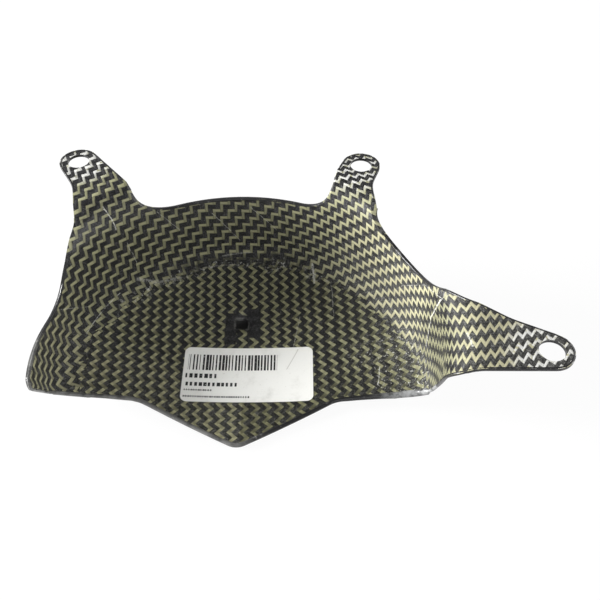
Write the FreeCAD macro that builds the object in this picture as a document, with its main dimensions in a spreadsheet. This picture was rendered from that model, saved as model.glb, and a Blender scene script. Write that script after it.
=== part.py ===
"""Moulded clutch cover: a deep round drum, open along its lower edge, with three bolt lugs.

The drum lies on its outer face, with the bolt axes upright along Z.
X runs along the longest side, and Y runs from the pointed lower edge to the two upper lugs.
"""
import math
import os

import FreeCAD
import Part
import Sketcher

SIZES = {
    # Laminate and its moulded section
    "shell_gauge": 1.2,
    "dome_radius": 290.0,
    "foot_fillet": 8.0,
    "foot_radius": 68.6,
    "draft_angle": 5.0,
    "flare_radius": 12.0,
    "flange_top": 49.2,
    "flange_reach": 116.0,
    # Bolt lugs
    "bolt_hole_dia": 8.5,
    "lug_radius": 7.5,
    "right_lug_radius": 7.2,
    "left_hole_x": -67.2,
    "left_hole_y": 79.4,
    "mid_hole_x": 45.8,
    "mid_hole_y": 76.9,
    "right_hole_x": 101.0,
    "right_hole_y": -16.9,
    # Pointed lower edge of the floor and its two shoulders
    "tip_x": -1.3,
    "tip_y": -23.8,
    "tip_fillet": 6.5,
    "shoulder_y": -4.3,
    "left_shoulder_x": -38.9,
    "right_shoulder_x": 34.9,
    "shoulder_fillet": 10.0,
    "front_half": 56.0,
    # Wing that carries the right lug
    "wing_low_y": -24.0,
    "wing_root_x": 72.0,
    "wing_root_y": 13.3,
    "wing_relief_x": 74.0,
    "wing_relief_y": 18.0,
    "wing_crook_x": 77.0,
    "wing_crook_y": 6.4,
    "wing_bend_x": 90.5,
    "wing_bend_y": -3.6,
    "wing_fillet": 20.0,
    # Necks of the two upper lugs
    "left_neck_x": -62.9,
    "left_neck_y": 47.2,
    "left_waist_x": -66.4,
    "left_waist_y": 64.0,
    "left_crook_x": -42.3,
    "left_crook_y": 62.2,
    "mid_neck_x": 51.0,
    "mid_neck_y": 55.2,
    "mid_waist_x": 48.7,
    "mid_waist_y": 63.4,
    "neck_fillet": 14.0,
    "mid_crook_x": 33.6,
    "mid_crook_y": 68.0,
    # Trimmed edge of the far wall, between the upper lugs
    "far_drop": 11.6,
    "far_right_drop": 12.5,
    "far_left_x": -36.4,
    "far_left_top_x": -49.4,
    "far_left_fillet": 20.0,
    "far_right_x": 29.3,
    "far_right_top_x": 38.1,
    "far_right_fillet": 12.0,
    # Scooped edge of the right wall, between the middle lug and the wing
    "scoop_y": 34.1,
    "scoop_drop": 12.6,
    "scoop_radius": 30.0,
    # Trimmed edge of the left wall, rising to the left lug
    "left_tip_y": -20.8,
    "left_tip_drop": 15.6,
    "left_tip_fillet": 2.5,
    "left_low_y": 20.4,
    "left_low_drop": 21.2,
    "left_low_fillet": 16.0,
    "left_high_y": 34.0,
    "left_high_drop": 6.2,
    "left_high_fillet": 28.0,
    "left_end_y": 75.0,
    "left_end_rise": 7.2,
    # Leaning front edges of both walls
    "lean_start_z": 7.2,
    "lean_fillet": 14.0,
    "right_lean": 26.5,
    # Small moulded recess in the floor
    "recess_x": -2.0,
    "recess_y": 33.0,
    "recess_wide": 5.0,
    "recess_long": 4.8,
    "recess_depth": 0.6,
    # Paper label on the inner floor
    "label_wide": 50.0,
    "label_long": 25.0,
    "label_corner": 2.5,
    "label_gauge": 0.15,
    "label_glue": 0.06,
    "label_x": 1.5,
    "label_y": 8.6,
    "label_band": 46.0,
    # Waste outside the trims, and where each trim starts from the drum axis
    "side_clear": 82.0,
    "far_clear": 84.0,
    "front_clear": 60.0,
    "top_clear": 40.0,
    "far_plane": 20.0,
    "scoop_plane": 30.0,
    "left_plane": 40.0,
    "front_plane": 50.0,
}

START, END, MIDDLE = range(1, 4)
Y_AXIS, X_AXIS = range(-2, 0)
ORIGIN = (X_AXIS, START)

doc = FreeCAD.newDocument("ClutchCover")
sheet = doc.addObject("Spreadsheet::Sheet", "Sizes")
for row, (alias, size) in enumerate(SIZES.items(), start=1):
    sheet.set("A%d" % row, alias)
    sheet.set("B%d" % row, "%s" % size)
    sheet.setAlias("B%d" % row, alias)
doc.recompute()


def vector(point):
    """Flat point as a vector."""
    return FreeCAD.Vector(point[0], point[1], 0.0)


def polar(centre, radius, angle):
    """Point at an angle in degrees on a circle."""
    turn = math.radians(angle)
    return (centre[0] + radius * math.cos(turn), centre[1] + radius * math.sin(turn))


def bearing(centre, point):
    """Angle in degrees from a centre to a point."""
    return math.degrees(math.atan2(point[1] - centre[1], point[0] - centre[0]))


class Size:
    """A number for the first drawing of a sketch, with the formula that drives it."""

    def __init__(self, value, formula):
        self.value = value
        self.formula = formula

    @classmethod
    def of(cls, source):
        """Read a sheet alias, an alias with a minus sign, or a plain number."""
        if isinstance(source, Size):
            return source
        if not isinstance(source, str):
            return cls(float(source), None)
        if source.startswith("-"):
            return cls(-SIZES[source[1:]], "-Sizes." + source[1:])
        return cls(SIZES[source], "Sizes." + source)


def waste_edge(side):
    """Edge of the waste, well outside the flange."""
    return Size(side * 1.3 * SIZES["flange_reach"], "%s * Sizes.flange_reach" % (side * 1.3))


class Corner:
    """A corner of an outline, sharp or rounded by a fillet."""

    def __init__(self, across, along, fillet=None):
        self.across = Size.of(across)
        self.along = Size.of(along)
        self.fillet = None if fillet is None else Size.of(fillet)
        self.point = (self.across.value, self.along.value)

    def ends(self, before, after):
        """Where the lines on both sides stop, with the arc's centre."""
        if self.fillet is None:
            return self.point, self.point, None
        sides = []
        for other in (before, after):
            length = math.dist(other, self.point)
            sides.append(((other[0] - self.point[0]) / length, (other[1] - self.point[1]) / length))
        (ux, uy), (wx, wy) = sides
        half = 0.5 * math.acos(ux * wx + uy * wy)
        run = self.fillet.value / math.tan(half)
        reach = self.fillet.value / math.sin(half) / math.hypot(ux + wx, uy + wy)
        first = (self.point[0] + ux * run, self.point[1] + uy * run)
        last = (self.point[0] + wx * run, self.point[1] + wy * run)
        centre = (self.point[0] + (ux + wx) * reach, self.point[1] + (uy + wy) * reach)
        return first, last, centre


class Lug(Corner):
    """A round end of an outline about a bolt hole."""

    def __init__(self, across, along, radius):
        super().__init__(across, along, radius)

    def ends(self, before, after):
        """Where the flanks touch the round end, on an outline drawn counter-clockwise."""
        touch = []
        for other, sign in ((before, 1.0), (after, -1.0)):
            spread = math.degrees(math.acos(self.fillet.value / math.dist(other, self.point)))
            touch.append(polar(self.point, self.fillet.value, bearing(self.point, other) + sign * spread))
        return touch[0], touch[1], self.point


class Drawing:
    """A sketch on one origin plane of a body, with its sizes bound to the sheet."""

    def __init__(self, body, name, role, offset=None):
        self.body = body
        self.sketch = body.newObject("Sketcher::SketchObject", name)
        plane = [item for item in body.Origin.OriginFeatures if item.Role == role][0]
        self.sketch.AttachmentSupport = [(plane, "")]
        self.sketch.MapMode = "FlatFace"
        if offset is not None:
            self.sketch.AttachmentOffset = FreeCAD.Placement(
                FreeCAD.Vector(0, 0, offset.value), FreeCAD.Rotation()
            )
            if offset.formula:
                self.sketch.setExpression("AttachmentOffset.Base.z", offset.formula)
        doc.recompute()

    def line(self, start, end):
        """Add a straight line and return its index."""
        return self.sketch.addGeometry(Part.LineSegment(vector(start), vector(end)), False)

    def arc(self, centre, radius, first, last):
        """Add an arc, counter-clockwise between two angles in degrees."""
        circle = Part.Circle(vector(centre), FreeCAD.Vector(0, 0, 1), radius)
        curve = Part.ArcOfCircle(circle, math.radians(first), math.radians(last))
        return self.sketch.addGeometry(curve, False)

    def rule(self, *terms):
        """Add one constraint and return its index."""
        return self.sketch.addConstraint(Sketcher.Constraint(*terms))

    def join(self, one, one_end, two, two_end):
        """Close two ends together."""
        self.rule("Coincident", one, one_end, two, two_end)

    def smooth(self, one, one_end, two, two_end):
        """Close two ends together without a corner."""
        self.rule("Tangent", one, one_end, two, two_end)

    def drive(self, index, size, unit=""):
        """Drive one constraint from the sheet."""
        if size.formula:
            self.sketch.setExpression("Constraints[%d]" % index, size.formula + unit)

    def pin(self, geo, end, across=None, along=None):
        """Drive the coordinates of a point."""
        if across is not None:
            self.drive(self.rule("DistanceX", *ORIGIN, geo, end, across.value), across)
        if along is not None:
            self.drive(self.rule("DistanceY", *ORIGIN, geo, end, along.value), along)

    def radius(self, geo, size):
        """Drive a radius."""
        self.drive(self.rule("Radius", geo, size.value), size)

    def circle(self, across, along, size):
        """Add a driven circle."""
        curve = Part.Circle(vector((across.value, along.value)), FreeCAD.Vector(0, 0, 1), size.value)
        geo = self.sketch.addGeometry(curve, False)
        self.pin(geo, MIDDLE, across, along)
        self.radius(geo, size)

    def outline(self, corners):
        """Draw a closed outline, counter-clockwise, from corners and lugs."""
        count = len(corners)
        before = [corners[i - 1].point for i in range(count)]
        after = [corners[(i + 1) % count].point for i in range(count)]
        for i, corner in enumerate(corners):
            if isinstance(corner, Lug):
                first, last, _ = corner.ends(before[i], after[i])
                after[i - 1] = first
                before[(i + 1) % count] = last
        stops = [corner.ends(before[i], after[i]) for i, corner in enumerate(corners)]
        lines = [self.line(stops[i][1], stops[(i + 1) % count][0]) for i in range(count)]
        for i, corner in enumerate(corners):
            into, away = lines[i - 1], lines[i]
            first, last, centre = stops[i]
            if centre is None:
                self.join(into, END, away, START)
                self.pin(away, START, corner.across, corner.along)
                continue
            angles = (bearing(centre, first), bearing(centre, last))
            forward = isinstance(corner, Lug) or self.turns_left(before[i], corner.point, after[i])
            if not forward:
                angles = (angles[1], angles[0])
            geo = self.arc(centre, corner.fillet.value, *angles)
            self.smooth(into, END, geo, START if forward else END)
            self.smooth(geo, END if forward else START, away, START)
            self.radius(geo, corner.fillet)
            if isinstance(corner, Lug):
                self.pin(geo, MIDDLE, corner.across, corner.along)
                continue
            mark = self.sketch.addGeometry(Part.Point(vector(corner.point)), True)
            self.rule("PointOnObject", mark, START, into)
            self.rule("PointOnObject", mark, START, away)
            self.pin(mark, START, corner.across, corner.along)

    @staticmethod
    def turns_left(before, corner, after):
        """Whether the outline turns left at a corner."""
        ux, uy = corner[0] - before[0], corner[1] - before[1]
        wx, wy = after[0] - corner[0], after[1] - corner[1]
        return ux * wy - uy * wx > 0.0

    def blank(self):
        """Draw the waste square about the origin."""
        low, high = waste_edge(-1), waste_edge(1)
        self.outline([Corner(low, low), Corner(high, low), Corner(high, high), Corner(low, high)])

    def pocket(self, name, reverse=False, depth=None):
        """Cut this drawing out of its body and report what it takes away."""
        before = self.body.Shape.Volume
        cut = self.body.newObject("PartDesign::Pocket", name)
        cut.Profile = self.sketch
        cut.Reversed = reverse
        if depth is None:
            cut.Type = "ThroughAll"
        else:
            cut.Type = "Length"
            cut.Length = depth
        doc.recompute()
        self.body.Tip = cut
        doc.recompute()
        print("%-14s takes %9.1f mm3" % (name, before - self.body.Shape.Volume))


def revolve(drawing, name):
    """Turn a drawing about its upright axis."""
    solid = drawing.body.newObject("PartDesign::Revolution", name)
    solid.Profile = drawing.sketch
    solid.ReferenceAxis = (drawing.sketch, ["V_Axis"])
    solid.Angle = 360.0
    doc.recompute()
    print("%-14s holds %9.1f mm3" % (name, drawing.body.Shape.Volume))


def draw_drum(section):
    """Draw the moulded section: domed floor, foot fillet, wall, flare and flange, one gauge thick."""
    gauge = Size.of("shell_gauge")
    dome = Size.of("dome_radius")
    foot = Size.of("foot_fillet")
    flare = Size.of("flare_radius")
    flange = Size.of("flange_top")
    draft = SIZES["draft_angle"]
    skin = gauge.value
    reach = SIZES["flange_reach"]
    c_dome = (0.0, skin + dome.value)
    foot_x = SIZES["foot_radius"] - foot.value * math.cos(math.radians(draft))
    c_foot = (foot_x, c_dome[1] - math.sqrt((dome.value - foot.value) ** 2 - foot_x ** 2))
    edge = bearing(c_dome, c_foot) % 360.0
    low = polar(c_foot, foot.value, -draft)
    low_out = polar(c_foot, foot.value + skin, -draft)
    rise = flange.value - flare.value * (1.0 - math.sin(math.radians(draft))) - low[1]
    high = (low[0] + rise * math.tan(math.radians(draft)), low[1] + rise)
    c_flare = polar(high, flare.value, -draft)
    high_out = polar(c_flare, flare.value - skin, 180.0 - draft)
    under_z = flange.value - skin

    dome_in = section.arc(c_dome, dome.value, 270.0, edge)
    foot_in = section.arc(c_foot, foot.value, edge, 360.0 - draft)
    wall_in = section.line(low, high)
    flare_in = section.arc(c_flare, flare.value, 90.0, 180.0 - draft)
    top = section.line((c_flare[0], flange.value), (reach, flange.value))
    rim = section.line((reach, flange.value), (reach, under_z))
    under = section.line((reach, under_z), (c_flare[0], under_z))
    flare_out = section.arc(c_flare, flare.value - skin, 90.0, 180.0 - draft)
    wall_out = section.line(high_out, low_out)
    foot_out = section.arc(c_foot, foot.value + skin, edge, 360.0 - draft)
    dome_out = section.arc(c_dome, dome.value + skin, 270.0, edge)
    core = section.line((0.0, 0.0), (0.0, skin))

    section.smooth(dome_in, END, foot_in, START)
    section.smooth(foot_in, END, wall_in, START)
    section.smooth(wall_in, END, flare_in, END)
    section.smooth(flare_in, START, top, START)
    section.join(top, END, rim, START)
    section.join(rim, END, under, START)
    section.smooth(under, END, flare_out, START)
    section.smooth(flare_out, END, wall_out, START)
    section.smooth(wall_out, END, foot_out, END)
    section.smooth(foot_out, START, dome_out, END)
    section.join(dome_out, START, core, START)
    section.join(core, END, dome_in, START)
    section.join(dome_in, MIDDLE, dome_out, MIDDLE)
    section.join(foot_in, MIDDLE, foot_out, MIDDLE)
    section.join(flare_in, MIDDLE, flare_out, MIDDLE)
    section.rule("Horizontal", top)
    section.rule("Vertical", rim)
    section.rule("Horizontal", under)
    section.rule("PointOnObject", dome_in, MIDDLE, Y_AXIS)
    section.rule("Coincident", core, START, *ORIGIN)
    section.rule("PointOnObject", core, END, Y_AXIS)
    section.drive(section.rule("Distance", core, skin), gauge)
    section.drive(section.rule("Distance", rim, skin), gauge)
    section.radius(dome_in, dome)
    section.radius(foot_in, foot)
    section.pin(foot_in, END, across=Size.of("foot_radius"))
    upright = section.rule("Angle", wall_in, math.radians(90.0 - draft))
    section.drive(upright, Size(90.0 - draft, "(90 - Sizes.draft_angle)"), " * 1 deg")
    section.radius(flare_in, flare)
    section.pin(top, START, along=flange)
    section.pin(top, END, across=Size.of("flange_reach"))


def draw_band(section):
    """Draw the paper's section: an even band that lies on the domed floor, over a film of glue."""
    band = SIZES["label_band"]
    high = SIZES["shell_gauge"] + SIZES["dome_radius"]
    centre = (0.0, high)
    outer = SIZES["dome_radius"] - SIZES["label_glue"]
    inner = outer - SIZES["label_gauge"]
    drop = high - math.sqrt(outer ** 2 - band ** 2)
    lift = high - math.sqrt(inner ** 2 - band ** 2)

    low = section.arc(centre, outer, 270.0, bearing(centre, (band, drop)))
    edge = section.line((band, drop), (band, lift))
    upper = section.arc(centre, inner, 270.0, bearing(centre, (band, lift)))
    core = section.line((0.0, high - inner), (0.0, high - outer))

    section.join(low, END, edge, START)
    section.join(edge, END, upper, END)
    section.join(upper, START, core, START)
    section.join(core, END, low, START)
    section.join(low, MIDDLE, upper, MIDDLE)
    section.rule("PointOnObject", low, MIDDLE, Y_AXIS)
    section.rule("PointOnObject", core, START, Y_AXIS)
    section.rule("PointOnObject", core, END, Y_AXIS)
    section.rule("Vertical", edge)
    section.pin(low, MIDDLE, along=Size(high, "Sizes.shell_gauge + Sizes.dome_radius"))
    section.radius(low, Size(outer, "Sizes.dome_radius - Sizes.label_glue"))
    section.radius(upper, Size(inner, "Sizes.dome_radius - Sizes.label_glue - Sizes.label_gauge"))
    section.pin(edge, START, across=Size.of("label_band"))


def rectangle(across, along, wide, long, fillet=None):
    """Corners of a driven rectangle about a centre."""
    corners = []
    for sx, sy in ((-1, -1), (1, -1), (1, 1), (-1, 1)):
        place = []
        for centre, span, sign in ((across, wide, sx), (along, long, sy)):
            mark = "+" if sign > 0 else "-"
            formula = "Sizes.%s %s Sizes.%s / 2" % (centre, mark, span)
            place.append(Size(SIZES[centre] + sign * SIZES[span] / 2.0, formula))
        corners.append(Corner(place[0], place[1], fillet))
    return corners


def from_top(alias, side):
    """Height above or below the top of the flange."""
    mark = "+" if side > 0 else "-"
    value = SIZES["flange_top"] + side * SIZES[alias]
    return Size(value, "Sizes.flange_top %s Sizes.%s" % (mark, alias))


# The drum as it leaves the mould
cover = doc.addObject("PartDesign::Body", "clutch_cover")
cover.Label = "clutch_cover"
drum = Drawing(cover, "drum_section", "XZ_Plane")
draw_drum(drum)
doc.recompute()
revolve(drum, "moulded_drum")

# Plan trim: pointed floor, wing with its lug, and two necks with theirs
plan = Drawing(cover, "plan_outline", "XY_Plane")
plan.blank()
plan.outline([
    Corner("tip_x", "tip_y", "tip_fillet"),
    Corner("right_shoulder_x", "shoulder_y", "shoulder_fillet"),
    Corner("front_half", "shoulder_y"),
    Corner("front_half", "wing_low_y"),
    Lug("right_hole_x", "right_hole_y", "right_lug_radius"),
    Corner("wing_bend_x", "wing_bend_y", "wing_fillet"),
    Corner("wing_crook_x", "wing_crook_y"),
    Corner("wing_root_x", "wing_root_y"),
    Corner("wing_relief_x", "wing_relief_y"),
    Corner("side_clear", "wing_relief_y"),
    Corner("side_clear", "mid_neck_y"),
    Corner("mid_neck_x", "mid_neck_y"),
    Corner("mid_waist_x", "mid_waist_y", "neck_fillet"),
    Lug("mid_hole_x", "mid_hole_y", "lug_radius"),
    Corner("mid_crook_x", "mid_crook_y"),
    Corner("mid_crook_x", "far_clear"),
    Corner("left_crook_x", "far_clear"),
    Corner("left_crook_x", "left_crook_y"),
    Lug("left_hole_x", "left_hole_y", "lug_radius"),
    Corner("left_waist_x", "left_waist_y", "neck_fillet"),
    Corner("left_neck_x", "left_neck_y"),
    Corner("-side_clear", "left_neck_y"),
    Corner("-side_clear", "-front_clear"),
    Corner("-front_half", "-front_clear"),
    Corner("-front_half", "shoulder_y"),
    Corner("left_shoulder_x", "shoulder_y", "shoulder_fillet"),
])
plan.pocket("plan_trim", reverse=True)

# Edge trims of the wall, each square to the wall that it cuts
far = Drawing(cover, "far_edge", "XZ_Plane", Size.of("-far_plane"))
far_edge = from_top("far_drop", -1)
far_slope_end = Size(SIZES["flange_top"] + 4.0, "Sizes.flange_top + 4")
far.outline([
    Corner("far_left_x", far_edge, "far_left_fillet"),
    Corner("far_right_x", from_top("far_right_drop", -1), "far_right_fillet"),
    Corner("far_right_top_x", far_slope_end),
    Corner("far_right_top_x", from_top("top_clear", 1)),
    Corner("far_left_top_x", from_top("top_clear", 1)),
    Corner("far_left_top_x", far_slope_end),
])
far.pocket("far_trim")

scoop = Drawing(cover, "scooped_edge", "YZ_Plane", Size.of("scoop_plane"))
scoop_centre = Size(
    SIZES["flange_top"] - SIZES["scoop_drop"] + SIZES["scoop_radius"],
    "Sizes.flange_top - Sizes.scoop_drop + Sizes.scoop_radius",
)
scoop.circle(Size.of("scoop_y"), scoop_centre, Size.of("scoop_radius"))
scoop.pocket("scoop_trim", reverse=True)

left = Drawing(cover, "left_edge", "YZ_Plane", Size.of("-left_plane"))
left.outline([
    Corner("shoulder_y", -10),
    Corner("shoulder_y", "lean_start_z", "lean_fillet"),
    Corner("left_tip_y", from_top("left_tip_drop", -1), "left_tip_fillet"),
    Corner("left_low_y", from_top("left_low_drop", -1), "left_low_fillet"),
    Corner("left_high_y", from_top("left_high_drop", -1), "left_high_fillet"),
    Corner("left_end_y", from_top("left_end_rise", 1)),
    Corner("left_end_y", from_top("top_clear", 1)),
    Corner(waste_edge(-1), from_top("top_clear", 1)),
    Corner(waste_edge(-1), -10),
])
left.pocket("left_trim")

right_front = Drawing(cover, "right_front", "YZ_Plane", Size.of("front_plane"))
lean_top = from_top("top_clear", 1)
lean_run = math.tan(math.radians(SIZES["right_lean"])) * (lean_top.value - SIZES["lean_start_z"])
lean_end = Size(
    SIZES["shoulder_y"] - lean_run,
    "Sizes.shoulder_y - (Sizes.flange_top + Sizes.top_clear - Sizes.lean_start_z)"
    " * tan(Sizes.right_lean * 1 deg)",
)
right_front.outline([
    Corner(waste_edge(-1), -10),
    Corner("shoulder_y", -10),
    Corner("shoulder_y", "lean_start_z", "lean_fillet"),
    Corner(lean_end, lean_top),
    Corner(waste_edge(-1), lean_top),
])
right_front.pocket("right_lean_trim", reverse=True)

# Bolt holes and the small recess
holes = Drawing(cover, "bolt_holes", "XY_Plane")
for side in ("left", "mid", "right"):
    bolt = Size(SIZES["bolt_hole_dia"] / 2.0, "Sizes.bolt_hole_dia / 2")
    holes.circle(Size.of(side + "_hole_x"), Size.of(side + "_hole_y"), bolt)
holes.pocket("bolt_holes_cut", reverse=True)

recess_sag = SIZES["dome_radius"] - math.sqrt(SIZES["dome_radius"] ** 2 - SIZES["recess_y"] ** 2)
recess_z = Size(
    SIZES["shell_gauge"] + recess_sag - SIZES["recess_depth"],
    "Sizes.shell_gauge + Sizes.dome_radius - sqrt(Sizes.dome_radius ^ 2 - Sizes.recess_y ^ 2)"
    " - Sizes.recess_depth",
)
recess = Drawing(cover, "floor_recess", "XY_Plane", recess_z)
recess.outline(rectangle("recess_x", "recess_y", "recess_wide", "recess_long"))
recess.pocket("recess_cut", reverse=True, depth=6.0)

# The paper label, cut from a band that lies on the floor
paper = doc.addObject("PartDesign::Body", "paper_label")
paper.Label = "paper_label"
band = Drawing(paper, "label_section", "XZ_Plane")
draw_band(band)
doc.recompute()
revolve(band, "label_band_turned")
card = Drawing(paper, "label_outline", "XY_Plane")
card.blank()
card.outline(rectangle("label_x", "label_y", "label_wide", "label_long", "label_corner"))
card.pocket("label_trim", reverse=True)

# Check every object, then write one file for each solid
for item in doc.Objects:
    if "Invalid" in item.State or "Error" in item.State:
        raise RuntimeError("%s is not built: %s" % (item.Name, item.State))
os.makedirs("parts", exist_ok=True)
for body in (cover, paper):
    shape = body.Shape
    for piece in shape.Solids:
        print("solid of %.1f mm3 at %s" % (piece.Volume, piece.CenterOfMass))
    if shape.isNull() or not shape.isValid() or len(shape.Solids) != 1:
        raise RuntimeError("%s is not one sound solid" % body.Label)
    box = shape.optimalBoundingBox(False)
    print("%-14s %9.1f mm3, %d faces" % (body.Label, shape.Volume, len(shape.Faces)))
    print("  x %.1f to %.1f, y %.1f to %.1f, z %.1f to %.1f" % (
        box.XMin, box.XMax, box.YMin, box.YMax, box.ZMin, box.ZMax))
    shape.exportStep("parts/%s.step" % body.Label)
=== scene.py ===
"""Moulded clutch cover of woven carbon and aramid, with its paper label, on a pale studio floor."""
import logging
import math
from dataclasses import dataclass, field
from enum import Enum

import bmesh
import bpy
from bmesh.types import BMesh, BMFace, BMVert
from bpy.types import Material, Node, NodeSocket, NodeTree, Object, Spline
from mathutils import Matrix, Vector


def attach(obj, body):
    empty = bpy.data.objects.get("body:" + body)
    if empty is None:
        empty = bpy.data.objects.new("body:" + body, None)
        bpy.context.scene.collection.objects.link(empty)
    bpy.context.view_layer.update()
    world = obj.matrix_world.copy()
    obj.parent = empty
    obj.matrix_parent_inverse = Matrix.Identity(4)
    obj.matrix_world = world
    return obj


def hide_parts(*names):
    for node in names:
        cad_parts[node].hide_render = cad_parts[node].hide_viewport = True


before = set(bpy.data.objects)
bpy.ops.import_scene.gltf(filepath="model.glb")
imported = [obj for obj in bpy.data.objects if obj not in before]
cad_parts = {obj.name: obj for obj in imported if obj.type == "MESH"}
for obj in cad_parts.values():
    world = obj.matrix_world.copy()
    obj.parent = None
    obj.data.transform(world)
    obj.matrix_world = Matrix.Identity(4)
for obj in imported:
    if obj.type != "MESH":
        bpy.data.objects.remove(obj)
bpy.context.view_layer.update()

log = logging.getLogger("clutch_cover")

MM = 0.001
TINY = 1e-6
BODY = "root"
SHELL_NODE = "clutch_cover"
LABEL_NODE = "paper_label"
UV_NAME = "drape"
UV_SPAN_MM = 320.0
UV_SHIFT_MM = (160.0, 100.0)
WELD_MM = 0.002
SHARP_ANGLE = math.radians(32.0)
BOLTS_MM = ((-67.2, 79.4), (45.8, 76.9), (101.0, -16.9))
RECESS_MM = (-2.0, 33.0)

Pair = tuple[float, float]
Colour = tuple[float, float, float, float]


class Surface(Enum):
    """Where a face of the shell lies."""

    INNER = 0
    CUT = 1
    OUTER = 2


def tone(red: int, green: int, blue: int) -> Colour:
    """Turn display values from 0 to 255 into a scene colour.

    Args:
        red: Red on the display.
        green: Green on the display.
        blue: Blue on the display.

    Returns:
        The colour in linear light, with full alpha.
    """
    parts = []
    for value in (red, green, blue):
        share = value / 255.0
        parts.append(share / 12.92 if share <= 0.04045 else ((share + 0.055) / 1.055) ** 2.4)
    return (parts[0], parts[1], parts[2], 1.0)


class Signal:
    """The output of a node, on which ordinary arithmetic adds further nodes."""

    def __init__(self, graph: "Graph", socket: NodeSocket) -> None:
        """Hold the socket and the graph that it is in."""
        self.graph = graph
        self.socket = socket

    def __add__(self, other: "Value") -> "Signal":
        """Add a number."""
        return self.graph.math("ADD", self, other)

    def __sub__(self, other: "Value") -> "Signal":
        """Take a number away."""
        return self.graph.math("SUBTRACT", self, other)

    def __rsub__(self, other: float) -> "Signal":
        """Take this from a number."""
        return self.graph.math("SUBTRACT", other, self)

    def __mul__(self, other: "Value") -> "Signal":
        """Multiply by a number."""
        return self.graph.math("MULTIPLY", self, other)

    def __truediv__(self, other: "Value") -> "Signal":
        """Divide by a number."""
        return self.graph.math("DIVIDE", self, other)

    def __pow__(self, other: float) -> "Signal":
        """Raise to a power."""
        return self.graph.math("POWER", self, other)

    def floor(self) -> "Signal":
        """Round down."""
        return self.graph.math("FLOOR", self)

    def size(self) -> "Signal":
        """Drop the sign."""
        return self.graph.math("ABSOLUTE", self)

    def wrap(self, length: float) -> "Signal":
        """Start again from 0 after each length."""
        return self.graph.math("FLOORED_MODULO", self, length)

    def at_least(self, other: "Value") -> "Signal":
        """Take the larger of this and another."""
        return self.graph.math("MAXIMUM", self, other)

    def at_most(self, other: "Value") -> "Signal":
        """Take the smaller of this and another."""
        return self.graph.math("MINIMUM", self, other)

    def over(self, other: "Value") -> "Signal":
        """Give 1 where this is the larger, and else 0."""
        return self.graph.math("GREATER_THAN", self, other)

    def under(self, other: "Value") -> "Signal":
        """Give 1 where this is the smaller, and else 0."""
        return self.graph.math("LESS_THAN", self, other)

    def rise(self, low: "Value", high: "Value") -> "Signal":
        """Go smoothly from 0 at the low value to 1 at the high one."""
        inputs = {"Value": self, "From Min": low, "From Max": high}
        return self.graph.step("ShaderNodeMapRange", inputs, interpolation_type="SMOOTHSTEP")

    def fall(self, low: "Value", high: "Value") -> "Signal":
        """Go smoothly from 1 at the low value to 0 at the high one."""
        return 1.0 - self.rise(low, high)

    def mix(self, one: "Value", two: "Value") -> "Signal":
        """Go from one number to another, with this as the share of the second."""
        return self.graph.step("ShaderNodeMix", {0: self, 2: one, 3: two}, data_type="FLOAT")


Value = float | Signal


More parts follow.
